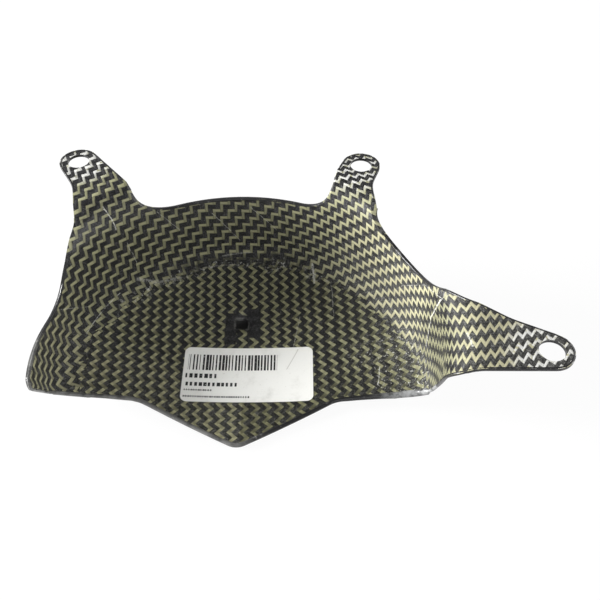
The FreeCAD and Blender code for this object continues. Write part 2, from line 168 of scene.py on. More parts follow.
class Graph:
    """A node tree that is written step by step, each step giving its output."""

    def __init__(self, tree: NodeTree) -> None:
        """Start on an empty tree."""
        self.tree = tree
        self.count = 0

    def node(self, kind: str, **settings: object) -> Node:
        """Add a node.

        Args:
            kind: The node's type name.
            **settings: Attributes to set on it.

        Returns:
            The new node.
        """
        made = self.tree.nodes.new(kind)
        made.location = (180.0 * (self.count % 12), -220.0 * (self.count // 12))
        self.count += 1
        for name, value in settings.items():
            setattr(made, name, value)
        return made

    def feed(self, node: Node, inputs: dict) -> None:
        """Link a node's inputs to outputs, or set their constants.

        Args:
            node: The node.
            inputs: What feeds each input, by its name or number.
        """
        for key, value in inputs.items():
            if isinstance(value, Signal):
                self.tree.links.new(value.socket, node.inputs[key])
            else:
                node.inputs[key].default_value = value

    def step(
        self, kind: str, inputs: dict, output: int | str = 0, **settings: object
    ) -> Signal:
        """Add a node and feed it.

        Args:
            kind: The node's type name.
            inputs: What feeds each input, by its name or number.
            output: Name or number of the output that is wanted.
            **settings: Attributes to set on it.

        Returns:
            The output.
        """
        made = self.node(kind, **settings)
        self.feed(made, inputs)
        return Signal(self, made.outputs[output])

    def math(self, operation: str, *values: Value) -> Signal:
        """Add a step of arithmetic, by Blender's name for it."""
        return self.step("ShaderNodeMath", dict(enumerate(values)), operation=operation)

    def tint(self, share: Value, one: object, two: object) -> Signal:
        """Mix two colours by the share of the second."""
        return self.step("ShaderNodeMix", {0: share, 6: one, 7: two}, 2, data_type="RGBA")

    def join(self, *parts: Value) -> Signal:
        """Make a vector from its parts."""
        return self.step("ShaderNodeCombineXYZ", dict(enumerate(parts)))

    def split(self, vector: Signal) -> tuple[Signal, ...]:
        """Take a vector apart."""
        made = self.step("ShaderNodeSeparateXYZ", {0: vector}).socket.node
        return tuple(Signal(self, socket) for socket in made.outputs)

    def scale(self, vector: Signal, factor: Value) -> Signal:
        """Multiply a vector or a colour by a number."""
        return self.step("ShaderNodeVectorMath", {0: vector, "Scale": factor}, operation="SCALE")

    def noise(self, vector: Signal, scale: float, detail: float, rough: float) -> Signal:
        """Add cloudy noise about 0.5, by its grains per unit, finer layers and their weight."""
        inputs = {"Vector": vector, "Scale": scale, "Detail": detail, "Roughness": rough}
        return self.step("ShaderNodeTexNoise", inputs, noise_dimensions="3D")

    def group(self, tree: NodeTree, inputs: dict) -> dict[str, Signal]:
        """Place a node group, and give its outputs by name."""
        made = self.step("ShaderNodeGroup", inputs, node_tree=tree).socket.node
        return {socket.name: Signal(self, socket) for socket in made.outputs}

    def place(self) -> Signal:
        """Read the Object coordinates, in millimetres."""
        return self.scale(self.step("ShaderNodeTexCoord", {}, "Object"), 1.0 / MM)

    def emboss(self, shader: Node, height: Signal, strength: float, depth: float) -> None:
        """Feed a shader's normal from a height.

        Args:
            shader: The shader.
            height: The height, from 0 to about 1.
            strength: Weight of the effect.
            depth: Height of one unit, in millimetres.
        """
        inputs = {"Strength": strength, "Distance": depth * MM, "Height": height}
        self.feed(shader, {"Normal": self.step("ShaderNodeBump", inputs)})


def new_group(
    name: str, inputs: dict[str, str], outputs: dict[str, str]
) -> tuple[Graph, dict[str, Signal], Node]:
    """Start a shader node group.

    Args:
        name: The group's name.
        inputs: Socket names with their kinds.
        outputs: Socket names with their kinds.

    Returns:
        The graph, what comes in by name and the node that takes what goes out.
    """
    tree = bpy.data.node_groups.new(name, "ShaderNodeTree")
    for sockets, direction in ((inputs, "INPUT"), (outputs, "OUTPUT")):
        for label, kind in sockets.items():
            tree.interface.new_socket(label, in_out=direction, socket_type="NodeSocket" + kind)
    graph = Graph(tree)
    source = graph.node("NodeGroupInput")
    given = {label: Signal(graph, source.outputs[label]) for label in inputs}
    return graph, given, graph.node("NodeGroupOutput")


def new_material(name: str) -> tuple[Material, Graph, Node]:
    """Start a material with one principled shader.

    Args:
        name: The material's name.

    Returns:
        The material, its graph and its shader.
    """
    material = bpy.data.materials.new(name)
    material.use_nodes = True
    material.node_tree.nodes.clear()
    graph = Graph(material.node_tree)
    shader = graph.node("ShaderNodeBsdfPrincipled")
    graph.feed(graph.node("ShaderNodeOutputMaterial"), {0: Signal(graph, shader.outputs[0])})
    return material, graph, shader


def reach(across: Signal, along: Signal) -> Signal:
    """Give the length of a step on the plan."""
    return across.graph.math("SQRT", across * across + along * along)


@dataclass(frozen=True)
class Patches:
    """Cloudy noise, cut softly into patches: grains per millimetre and where the cut lies."""

    scale: float
    detail: float
    rough: float
    low: float
    high: float

    def mask(self, place: Signal) -> Signal:
        """Give 1 in the patches and 0 between them."""
        cloud = place.graph.noise(place, self.scale, self.detail, self.rough)
        return cloud.rise(self.low, self.high)


@dataclass(frozen=True)
class Wander:
    """A smooth shift to and fro: grains per millimetre, and the reach of the shift."""

    scale: float
    detail: float
    rough: float
    reach: float

    def shift(self, place: Signal) -> Signal:
        """Give the shift at a place."""
        cloud = place.graph.noise(place, self.scale, self.detail, self.rough)
        return (cloud - 0.5) * self.reach


@dataclass(frozen=True)
class Window:
    """A stretch of a number with soft ends, each given by where it starts and stops."""

    rise: Pair
    fall: Pair

    def mask(self, value: Signal) -> Signal:
        """Give 1 in the stretch and 0 outside it."""
        return value.rise(*self.rise) * value.fall(*self.fall)


@dataclass(frozen=True)
class TwillWeave:
    """Two-by-two twill, with every second yarn of both sets in aramid."""

    aramid_width: float = 0.80
    streaks: float = 9.0
    streak_run: float = 0.8
    yarn_step: float = 3.7
    set_step: float = 41.3
    crown_power: float = 2.4
    dip_power: float = 0.6

    def spread(self, count: Signal) -> Signal:
        """Make each even yarn narrow and each odd yarn wide.

        Args:
            count: Place counted in yarns of one width.

        Returns:
            Place counted in yarns of their own width.
        """
        pair = (count / 2.0).floor()
        inside = count - pair * 2.0
        thin = inside / self.aramid_width
        wide = (inside - self.aramid_width) / (2.0 - self.aramid_width)
        return pair * 2.0 + inside.under(self.aramid_width).mix(wide + 1.0, thin)

    def tree(self) -> NodeTree:
        """Build the group that reads a place counted in yarns.

        Returns:
            The group, which puts out masks and the yarns' height.
        """
        kinds = dict.fromkeys(("Aramid", "Height", "Streak", "Lie", "End"), "Float")
        graph, given, out = new_group("twill_weave", {"Lattice": "Vector"}, kinds)
        counted_across, counted_along, _ = graph.split(given["Lattice"])
        across = self.spread(counted_across)
        along = self.spread(counted_along * -1.0)
        column, row = across.floor(), along.floor()
        in_column, in_row = across - column, along - row
        phase = (column - row).wrap(4.0)
        warp = phase.under(1.5)
        side = warp.mix(in_row, in_column)
        number = warp.mix(row, column)
        second_half = phase.under(0.5).at_least(phase.over(2.5))
        run = warp.mix(in_column, in_row) + second_half
        from_end = run.at_most(2.0 - run).at_most(1.0)
        crown = 1.0 - ((side - 0.5).size() * 2.0) ** self.crown_power
        fibre = number * self.yarn_step + warp * self.set_step
        grain = graph.join(side * self.streaks, run * self.streak_run, fibre)
        height = crown * from_end ** self.dip_power
        graph.feed(out, {"Aramid": number.wrap(2.0).under(0.5), "Height": height, "Lie": warp})
        graph.feed(out, {"Streak": graph.noise(grain, 1.0, 2.0, 0.6), "End": 1.0 - from_end})
        return graph.tree


@dataclass(frozen=True)
class ScratchLine:
    """A fine scratch, in millimetres on the drape or on the plan of the floor."""

    start: Pair
    end: Pair
    half_width: float
    strength: float
    on_floor: bool = False

    @staticmethod
    def tree() -> NodeTree:
        """Build the group that gives how near a place is to one scratch.

        Returns:
            The group.
        """
        inputs = dict.fromkeys(("Place", "Start", "Run"), "Vector")
        inputs.update(dict.fromkeys(("Half Width", "Bend"), "Float"))
        graph, given, out = new_group("scratch_line", inputs, {"Mask": "Float"})
        place_x, place_y, _ = graph.split(given["Place"])
        start_x, start_y, _ = graph.split(given["Start"])
        run_x, run_y, _ = graph.split(given["Run"])
        x, y = place_x - start_x, place_y - start_y
        share = (x * run_x + y * run_y) / (run_x * run_x + run_y * run_y)
        share = share.at_least(0.0).at_most(1.0)
        away = reach(x - share * run_x + given["Bend"], y - share * run_y)
        graph.feed(out, {"Mask": away.fall(0.0, given["Half Width"])})
        return graph.tree

    def mask(self, tree: NodeTree, place: Signal, bend: Signal) -> Signal:
        """Mask this scratch on a surface.

        Args:
            tree: The scratch's group.
            place: Where to read it, in millimetres.
            bend: How far it leaves its straight line.

        Returns:
            A mask from 0 to the scratch's strength.
        """
        run = (self.end[0] - self.start[0], self.end[1] - self.start[1], 0.0)
        inputs = {"Place": place, "Bend": bend, "Start": (*self.start, 0.0), "Run": run}
        made = place.graph.group(tree, {**inputs, "Half Width": self.half_width})
        return made["Mask"] * self.strength


@dataclass
class Spot:
    """Where a point of the laminate lies, in millimetres, with the masks of floor and wall."""

    graph: Graph
    lap: Wander = Wander(0.11, 3.0, 0.55, 16.0)
    lap_right: Pair = (74.0, 108.0)
    lap_lift: float = 6.5

    def __post_init__(self) -> None:
        """Read the coordinates, and find the ragged lap where the wall's cloth starts."""
        self.place = self.graph.place()
        self.x, self.y, self.z = self.graph.split(self.place)
        uv = self.graph.step("ShaderNodeUVMap", {}, uv_map=UV_NAME)
        uv_x, uv_y, _ = self.graph.split(uv)
        self.round_drum = uv_x * UV_SPAN_MM - UV_SHIFT_MM[0]
        self.up_wall = uv_y * UV_SPAN_MM - UV_SHIFT_MM[1]
        self.drape = self.graph.join(self.round_drum, self.up_wall)
        lift = self.round_drum.rise(*self.lap_right) * self.lap_lift
        self.above = self.up_wall - (lift + self.lap.shift(self.place))
        self.on_wall = self.above.over(0.0)
        self.on_floor = 1.0 - self.on_wall

    def in_box(self, centre: Pair, half: Pair, rim: float = 0.4) -> Signal:
        """Mask a box on the plan, with a soft rim.

        Args:
            centre: Its centre along X and Y.
            half: Half its size along X and Y.
            rim: Half the width of the rim.

        Returns:
            A mask from 0 to 1.
        """
        sides = []
        for value, middle, size in zip((self.x, self.y), centre, half):
            sides.append((value - middle).size().fall(size - rim, size + rim))
        return sides[0] * sides[1]


@dataclass(frozen=True)
class ClothLay:
    """How the cloths of floor, wall and wing run: their pitch, and how they bow and fan."""

    pitch: float = 1.6
    floor_pitch: float = 1.53
    floor_turns: Pair = (math.radians(138.0), math.radians(48.0))
    round_stretch: float = 1.04
    left_bow: float = 0.0007
    lean: float = 0.03
    lean_gain: float = 0.0018
    rise: float = 0.93
    rise_gain: float = 0.0025
    rise_from: float = -20.0
    left_drop: float = 0.00125
    right_lift: float = 0.0002
    neck_from: float = 36.0
    neck_length: float = 11.0
    neck_fan: float = 0.007
    neck_draw: float = 0.4
    neck_twist: float = 0.012
    neck_axis: float = 37.0
    lug_draw: float = 0.17
    wing_tooth: float = 0.83
    wing_row: float = 1.03
    wing_slope: tuple[float, float, float] = (-0.09, 0.83, 0.70)
    wing_middle: float = 82.0
    wing_closing: float = 0.0075
    wing_bend_from: float = 84.0
    wing_bend: float = 0.005
    flare_end: float = 72.0
    flare_draw: float = 0.0045
    wing_low: float = 31.0
    crease: float = 95.5
    crease_height: float = 28.0
    crease_slopes: Pair = (0.13, 0.2)
    wanders: tuple[Wander, Wander] = (Wander(0.09, 2.0, 0.5, 1.1), Wander(0.07, 2.0, 0.5, 1.1))

    def floor(self, spot: Spot) -> list[Signal]:
        """Count the yarns of the flat cloth on the floor, across and along.

        Args:
            spot: The place on the laminate.

        Returns:
            The counts along both sets of yarns.
        """
        counts = []
        for turn in self.floor_turns:
            across = spot.x * (math.cos(turn) / self.floor_pitch)
            counts.append(across + spot.y * (math.sin(turn) / self.floor_pitch))
        return counts

    def wall(self, spot: Spot) -> list[Signal]:
        """Count the yarns of the cloth round the wall and up the necks.

        Args:
            spot: The place on the laminate.

        Returns:
            The counts round the drum and up its wall.
        """
        u, v = spot.round_drum, spot.up_wall
        left, right = u.at_most(0.0), u.at_least(0.0)
        on_right = u.over(0.0)
        on_neck = (v - self.neck_from).at_least(0.0)
        low_neck = on_neck.at_most(self.neck_length)
        fanned = on_right.mix(on_neck, low_neck) * self.neck_fan
        across = u * self.round_stretch + left * left * self.left_bow
        across = across + v * (u * self.lean_gain - self.lean) + fanned * u
        up = v * (u.at_least(self.rise_from) * self.rise_gain + self.rise)
        up = up - left * left * self.left_drop + right * right * self.right_lift
        up = up - on_neck * ((u - self.neck_axis) * on_right * self.neck_twist)
        left_drawn = low_neck * self.neck_draw - (on_neck - low_neck) * self.lug_draw
        up = up + on_right.mix(left_drawn, on_neck * self.neck_draw)
        return [across / self.pitch, up / self.pitch]

    def wing(self, spot: Spot) -> list[Signal]:
        """Count the yarns of the cloth on the wing, whose rows run out to the lug.

        Args:
            spot: The place on the laminate.

        Returns:
            The counts along both slanting sets of yarns.
        """
        slope_x, slope_y, slope_z = self.wing_slope
        closing = (spot.x - self.wing_middle) * self.wing_closing + slope_y
        rows = spot.x * slope_x + spot.y * closing + spot.z * slope_z
        far_out = (spot.x - self.wing_bend_from).at_least(0.0)
        rows = (rows - far_out * far_out * self.wing_bend) * (0.5 / self.wing_row)
        flare = (self.flare_end - spot.up_wall).at_least(0.0)
        tooth = spot.up_wall - flare * flare * self.flare_draw
        tooth = tooth * (0.5 / self.wing_tooth)
        return [tooth + rows, tooth - rows]

    def lattice(self, spot: Spot) -> Signal:
        """Count the yarns of whichever cloth lies at a place.

        Args:
            spot: The place on the laminate.

        Returns:
            A vector of the counts across and along, with the cloth's small wanderings.
        """
        over = spot.up_wall - self.crease_height
        below = self.crease_height - spot.up_wall
        crease = below.at_least(0.0) * self.crease_slopes[0] + self.crease
        crease = crease + over.at_least(0.0) * self.crease_slopes[1]
        on_wing = spot.round_drum.over(crease) * spot.up_wall.over(self.wing_low)
        counts = []
        cloths = zip(self.floor(spot), self.wall(spot), self.wing(spot), self.wanders)
        for floor, wall, wing, wander in cloths:
            count = on_wing.mix(spot.on_wall.mix(floor, wall), wing)
            counts.append(count + wander.shift(spot.place))
        return spot.graph.join(*counts)


@dataclass(frozen=True)
class WearAndGlintMarks:
    """Pale marks: scratches, hairlines, specks, wrinkled resin along the lap of the cloths, and
    painted glints on the floor by the right foot.
    """

    bend: Wander = Wander(0.35, 3.0, 0.6, 1.6)
    broken: Patches = Patches(1.1, 3.0, 0.7, 0.36, 0.52)
    hair_turn: Pair = (0.8, 0.6)
    hair_grain: Pair = (1.5, 0.10)
    hair_cut: Pair = (0.70, 0.76)
    hair_patch: Patches = Patches(0.06, 2.0, 0.5, 0.46, 0.60)
    hair_share: float = 0.42
    lap_near: Pair = (0.5, 3.6)
    lap_round: Window = Window((-80.0, -52.0), (30.0, 48.0))
    wrinkles: Patches = Patches(0.6, 5.0, 0.8, 0.53, 0.66)
    wrinkle_share: float = 0.75
    specks: Patches = Patches(1.7, 2.0, 0.5, 0.765, 0.80)
    speck_share: float = 0.7
    corner_round: Pair = (66.0, 92.0)
    corner_up: Window = Window((-26.0, -10.0), (2.0, 7.0))
    glints: Patches = Patches(1.25, 2.0, 0.6, 0.62, 0.69)
    glint_share: float = 0.85
    scratches: tuple[ScratchLine, ...] = (
        ScratchLine((-54.0, 44.2), (-53.1, 34.1), 0.36, 0.9),
        ScratchLine((-35.8, 34.0), (-28.2, 21.9), 0.2, 0.5),
        ScratchLine((-14.4, 27.1), (-3.9, 11.8), 0.24, 0.6),
        ScratchLine((1.1, 28.9), (11.9, 17.9), 0.22, 0.6),
        ScratchLine((-50.6, 26.0), (-48.9, 14.3), 0.24, 0.5),
        ScratchLine((-60.6, 6.0), (-83.8, 3.9), 0.3, 0.7),
        ScratchLine((-95.4, 29.0), (-75.2, 10.7), 0.2, 0.5),
        ScratchLine((72.8, 20.1), (85.8, 32.9), 0.22, 0.55),
        ScratchLine((85.8, 32.9), (97.5, 38.0), 0.3, 0.7),
        ScratchLine((97.5, 38.0), (95.3, 26.2), 0.5, 0.85),
        ScratchLine((95.3, 26.2), (98.4, 13.5), 0.36, 0.75),
        ScratchLine((115.8, 44.5), (121.2, 46.4), 0.6, 0.8),
        ScratchLine((28.6, 4.4), (33.5, -3.8), 0.8, 0.75),
        ScratchLine((-50.7, 6.8), (-43.8, 1.0), 1.3, 0.42),
        ScratchLine((-45.2, 1.5), (-33.0, -1.0), 1.0, 0.36),
        ScratchLine((-12.0, 4.6), (0.5, 5.6), 0.6, 0.3),
        ScratchLine((-21.0, 0.6), (-5.0, -0.4), 0.5, 0.3),
        ScratchLine((21.5, 35.7), (17.6, 13.9), 0.2, 0.5, True),
        ScratchLine((34.4, 52.7), (35.2, 34.6), 0.2, 0.45, True),
        ScratchLine((51.9, 9.1), (50.7, 1.0), 0.3, 0.8, True),
    )

    def scratched(self, spot: Spot, scratch: NodeTree) -> Signal:
        """Mask the scratches, broken here and there.

        Args:
            spot: The place on the laminate.
            scratch: The scratch's group.

        Returns:
            A mask from 0 to 1.
        """
        bend = self.bend.shift(spot.place)
        inside = spot.above.under(0.0)
        total: Value = 0.0
        for line in self.scratches:
            if line.on_floor:
                mark = line.mask(scratch, spot.place, bend) * inside
            else:
                mark = line.mask(scratch, spot.drape, bend)
            total = mark.at_least(total)
        return total * self.broken.mask(spot.place)

    def hairlines(self, spot: Spot) -> Signal:
        """Mask the fine slanting lines that lie in patches.

        Args:
            spot: The place on the laminate.

        Returns:
            A mask from 0 to their share.
        """
        cosine, sine = self.hair_turn
        across = spot.round_drum * cosine + spot.up_wall * sine
        along = spot.round_drum * sine - spot.up_wall * cosine
        grain = spot.graph.join(across * self.hair_grain[0], along * self.hair_grain[1])
        hair = spot.graph.noise(grain, 1.0, 2.0, 0.5).rise(*self.hair_cut)
        return hair * self.hair_patch.mask(spot.place) * self.hair_share

    def mask(self, spot: Spot, scratch: NodeTree) -> Signal:
        """Mask all the marks.

        Args:
            spot: The place on the laminate.
            scratch: The scratch's group.

        Returns:
            A mask from 0 to 1.
        """
        lap = spot.above.size().fall(*self.lap_near) * self.wrinkles.mask(spot.place)
        lap = lap * self.lap_round.mask(spot.round_drum) * self.wrinkle_share
        speck = self.specks.mask(spot.place) * self.speck_share
        # Painted glints on the floor by the right foot.
        corner = spot.round_drum.rise(*self.corner_round) * self.corner_up.mask(spot.above)
        glint = self.glints.mask(spot.place) * corner * self.glint_share
        total = self.scratched(spot, scratch).at_least(self.hairlines(spot))
        return total.at_least(lap).at_least(speck.at_least(glint))


@dataclass(frozen=True)
class YarnLight:
    """How an aramid yarn catches light: rounded on the wall, and with lit ends on the floor."""

    round_power: float = 0.7
    round_low: float = 0.38
    wall_share: float = 0.86
    wall_end: float = 0.3
    end_power: float = 1.5
    left_side: Pair = (10.0, 50.0)
    left_level: float = 1.06
    upright_dim: float = 0.22
    floor_low: float = 0.58
    floor_end: float = 0.5
    side_reach: float = 34.0
    leg_contrast: float = 0.42
    warp_dim: float = 0.08
    streak_low: float = 0.68
    streak_gain: float = 0.4

    def share(self, spot: Spot, twill: dict[str, Signal], streak: Signal) -> Signal:
        """Tell how lit an aramid yarn is.

        Args:
            spot: The place on the laminate.
            twill: The weave's outputs.
            streak: The fibres' streaks, from 0 to 1.

        Returns:
            The share of the full colour.
        """
        lie = twill["Lie"]
        at_end = twill["End"] ** self.end_power
        wall = twill["Height"] ** self.round_power * (1.0 - self.round_low) + self.round_low
        wall = wall * self.wall_share + at_end * self.wall_end
        upright = lie * spot.round_drum.fall(*self.left_side)
        wall = wall * (self.left_level - upright * self.upright_dim)
        lit = spot.on_floor.mix(wall, at_end * self.floor_end + self.floor_low)
        side = spot.x.at_most(self.side_reach).at_least(-self.side_reach) / self.side_reach
        leaning = (1.0 - lie * 2.0) * side * spot.on_floor
        lit = (lit - lie * self.warp_dim) * (leaning * self.leg_contrast + 1.0)
        return lit * (streak * self.streak_gain + self.streak_low)


@dataclass(frozen=True)
class LaminateFinish:
    """Glossy resin over woven carbon and aramid."""

    side: Surface = Surface.INNER
    coat: float = 0.16
    coat_rough: float = 0.3
    lay: ClothLay = ClothLay()
    wear_and_glints: WearAndGlintMarks = WearAndGlintMarks()
    light: YarnLight = YarnLight()
    aramid: Colour = tone(158, 157, 123)
    carbon: Colour = tone(46, 46, 47)
    # Lighter copies of the yarn colours, for painted light on the right wall and the wing
    lit_aramid: Colour = tone(186, 182, 149)
    lit_carbon: Colour = tone(70, 70, 68)
    front_aramid: Colour = tone(140, 139, 104)
    front_carbon: Colour = tone(62, 62, 59)
    worn_and_glare_aramid: Colour = tone(226, 226, 221)
    hazy_carbon: Colour = tone(86, 86, 82)
    gap: Colour = (0.004, 0.004, 0.003, 1.0)
    # Near black, for painted shade in the recess and the corners
    shade_black: Colour = tone(14, 14, 14)
    pale: Colour = tone(196, 196, 188)
    right_wall: Pair = (26.0, 66.0)
    from_lap: Pair = (-0.6, 3.0)
    turn_round: Pair = (84.0, 100.0)
    turn_up: Pair = (36.0, 47.0)
    neck_round: Pair = (54.0, 76.0)
    neck_up: Pair = (30.0, 44.0)
    dimmed: float = 0.85
    left_wall: Pair = (-96.0, -72.0)
    left_share: float = 0.4
    front: Pair = (-14.0, 20.0)
    bolt_wear_and_glare: Pair = (10.0, 17.0)
    rubbed_and_glare: Patches = Patches(0.5, 3.0, 0.6, 0.36, 0.50)
    foot_shade_up: Window = Window((-2.0, 0.2), (3.5, 8.0))
    foot_shade_round: Window = Window((-46.0, -22.0), (16.0, 34.0))
    resin_and_shade_patches: Patches = Patches(0.22, 3.0, 0.6, 0.28, 0.5)
    foot_shade_share: float = 0.85
    haze_round: Pair = (62.0, 92.0)
    haze_up: Window = Window((-22.0, -6.0), (4.0, 14.0))
    haze: Patches = Patches(1.6, 4.0, 0.7, 0.36, 0.62)
    streak_cut: Pair = (0.25, 0.75)
    sheen_lie: Pair = (0.5, 0.75)
    sheen_streak: Pair = (1.3, 0.25)
    sheen_power: float = 1.6
    sheen_grain: Pair = (1.7, 0.3)
    grain: Patches = Patches(1.9, 3.0, 0.7, 0.36, 0.66)
    shade_right: Pair = (8.0, 42.0)
    shade_floor: float = 0.2
    shade_turn: float = 0.3
    strips: tuple[tuple[Pair, Pair], ...] = (
        ((-6.3, 30.5), (2.4, 7.6)),
        ((2.85, 33.2), (2.65, 7.0)),
        ((-2.0, 33.6), (4.0, 3.6)),
    )
    strip_dull: float = 0.7
    recess_half: Pair = (2.4, 2.3)
    rim_highlight_half: Pair = (3.0, 2.9)
    rim_highlight: Patches = Patches(0.45, 3.0, 0.6, 0.42, 0.6)
    rim_highlight_share: float = 0.16
    dull_foot: Window = Window((-8.0, -1.0), (13.0, 20.0))
    dull_rough: float = 0.78
    dull_coat: float = 0.9
    carbon_rough: float = 0.34
    aramid_rough: float = 0.5
    mark_rough: float = 0.6
    specular: float = 0.34
    ripple: tuple[float, float, float] = (0.25, 2.0, 0.5)
    ripple_share: float = 0.5
    relief: Pair = (0.5, 0.12)

    def material(self, weave: NodeTree, scratch: NodeTree) -> Material:
        """Build the material.

        Args:
            weave: The weave's group.
            scratch: The scratch's group.

        Returns:
            The material.
        """
        material, graph, shader = new_material("woven_laminate_" + self.side.name.lower())
        spot = Spot(graph)
        twill = graph.group(weave, {"Lattice": self.lay.lattice(spot)})
        bare: Value = 0.0
        marks: Value = 0.0
        if self.side is Surface.INNER:
            bare = self.bare_strips(spot)
            marks = self.wear_and_glints.mask(spot, scratch)
        # The far foot shows only carbon, partly as resin over the yarns and partly as painted
        # shade.
        plain = self.resin_and_shade_foot(spot).at_least(bare)
        aramid = twill["Aramid"] * (1.0 - plain)
        cloth = self.cloth(spot, twill, aramid)
        if self.side is Surface.INNER:
            # Painted shade: the recess is painted near black.
            shade_black = spot.in_box(RECESS_MM, self.recess_half)
            # Painted highlight: pale patches round the rim of the recess.
            rim_highlight = spot.in_box(RECESS_MM, self.rim_highlight_half) - shade_black
            rim_highlight = rim_highlight * self.rim_highlight.mask(spot.place) * self.rim_highlight_share
            cloth = graph.tint(shade_black, cloth, self.shade_black)
            marks = marks.at_least(rim_highlight)
            bare = bare * self.strip_dull
        dull = self.dull_foot.mask(spot.up_wall).at_least(bare)
        rough = aramid.mix(self.carbon_rough, self.aramid_rough)
        if self.side is Surface.INNER:
            cloth = graph.tint(marks, cloth, self.pale)
            rough = marks.mix(rough, self.mark_rough)
        coat = (1.0 - dull * self.dull_coat) * self.coat
        graph.feed(shader, {"Base Color": cloth, "Roughness": dull.mix(rough, self.dull_rough)})
        graph.feed(shader, {"Coat Weight": coat, "Coat Roughness": self.coat_rough})
        graph.feed(shader, {"Specular IOR Level": self.specular})
        ripple = graph.noise(spot.place, *self.ripple) * self.ripple_share
        graph.emboss(shader, ripple + twill["Height"], *self.relief)
        return material

    def cloth(self, spot: Spot, twill: dict[str, Signal], aramid: Signal) -> Signal:
        """Colour the yarns.

        Args:
            spot: The place on the laminate.
            twill: The weave's outputs.
            aramid: 1 on an aramid yarn and 0 on a carbon one.

        Returns:
            The cloth's colour.
        """
        graph = spot.graph
        u, v = spot.round_drum, spot.up_wall
        # Painted light: the right wall and the wing, and less so the left wall, take lighter copies
        # of the yarn colours, dimmed at the turn into the wing and on the neck.
        turning = u.rise(*self.turn_round) * v.fall(*self.turn_up)
        neck = u.fall(*self.neck_round) * v.rise(*self.neck_up)
        clear = u.rise(*self.right_wall) * spot.above.rise(*self.from_lap)
        clear = clear * (1.0 - turning * self.dimmed) * (1.0 - neck * self.dimmed)
        clear = clear + u.fall(*self.left_wall) * self.left_share
        front = spot.y.fall(*self.front) * spot.on_floor
        streak = twill["Streak"].rise(*self.streak_cut)

        # Near the bolts the aramid turns near white, as wear and as a painted reflection.
        worn = self.near_bolts(spot) * self.rubbed_and_glare.mask(spot.place)
        yellow = graph.tint(front, self.aramid, self.front_aramid)
        yellow = graph.tint(clear, yellow, self.lit_aramid)
        yellow = graph.tint(worn, yellow, self.worn_and_glare_aramid)
        yellow = graph.tint(self.light.share(spot, twill, streak), self.gap, yellow)

        haze = u.rise(*self.haze_round) * self.haze_up.mask(spot.above)
        haze = haze * self.haze.mask(spot.place)
        black = graph.tint(front, self.carbon, self.front_carbon)
        black = graph.tint(clear, black, self.lit_carbon)
        black = graph.tint(haze, black, self.hazy_carbon)
        black = graph.scale(black, self.carbon_sheen(spot, twill["Lie"], streak))

        # Painted shade: darker towards the right of the floor and in the turn into the wing.
        painted_shade = spot.x.rise(*self.shade_right) * spot.on_floor * self.shade_floor
        painted_shade = painted_shade.at_least(turning * self.shade_turn)
        return graph.tint(painted_shade, graph.tint(aramid, black, yellow), self.shade_black)

    def carbon_sheen(self, spot: Spot, lie: Signal, streak: Signal) -> Signal:
        """Tell how bright a carbon yarn is, by its set, its streaks and its grain.

        Args:
            spot: The place on the laminate.
            lie: 1 on one set of yarns and 0 on the other.
            streak: The fibres' streaks, from 0 to 1.

        Returns:
            The factor on its colour.
        """
        gain, level = self.sheen_lie
        sheen = lie * gain + level
        gain, level = self.sheen_streak
        sheen = sheen * (streak ** self.sheen_power * gain + level)
        gain, level = self.sheen_grain
        return sheen * (self.grain.mask(spot.place) * gain + level)

    def resin_and_shade_foot(self, spot: Spot) -> Signal:
        """Mask the far foot, where the yarns are hidden, partly under resin and partly as painted
        shade.
        """
        mask = self.foot_shade_up.mask(spot.above) * self.foot_shade_round.mask(spot.round_drum)
        return mask * self.resin_and_shade_patches.mask(spot.place) * self.foot_shade_share

    def near_bolts(self, spot: Spot) -> Signal:
        """Mask the cloth round the bolt holes, painted near white as wear and as a painted
        reflection.
        """
        away = [reach(spot.x - bolt_x, spot.y - bolt_y) for bolt_x, bolt_y in BOLTS_MM]
        return away[0].at_most(away[1]).at_most(away[2]).fall(*self.bolt_wear_and_glare)

    def bare_strips(self, spot: Spot) -> Signal:
        """Mask the bare black strips round the recess."""
        strips = [spot.in_box(centre, half) for centre, half in self.strips]
        return strips[0].at_least(strips[1]).at_least(strips[2])


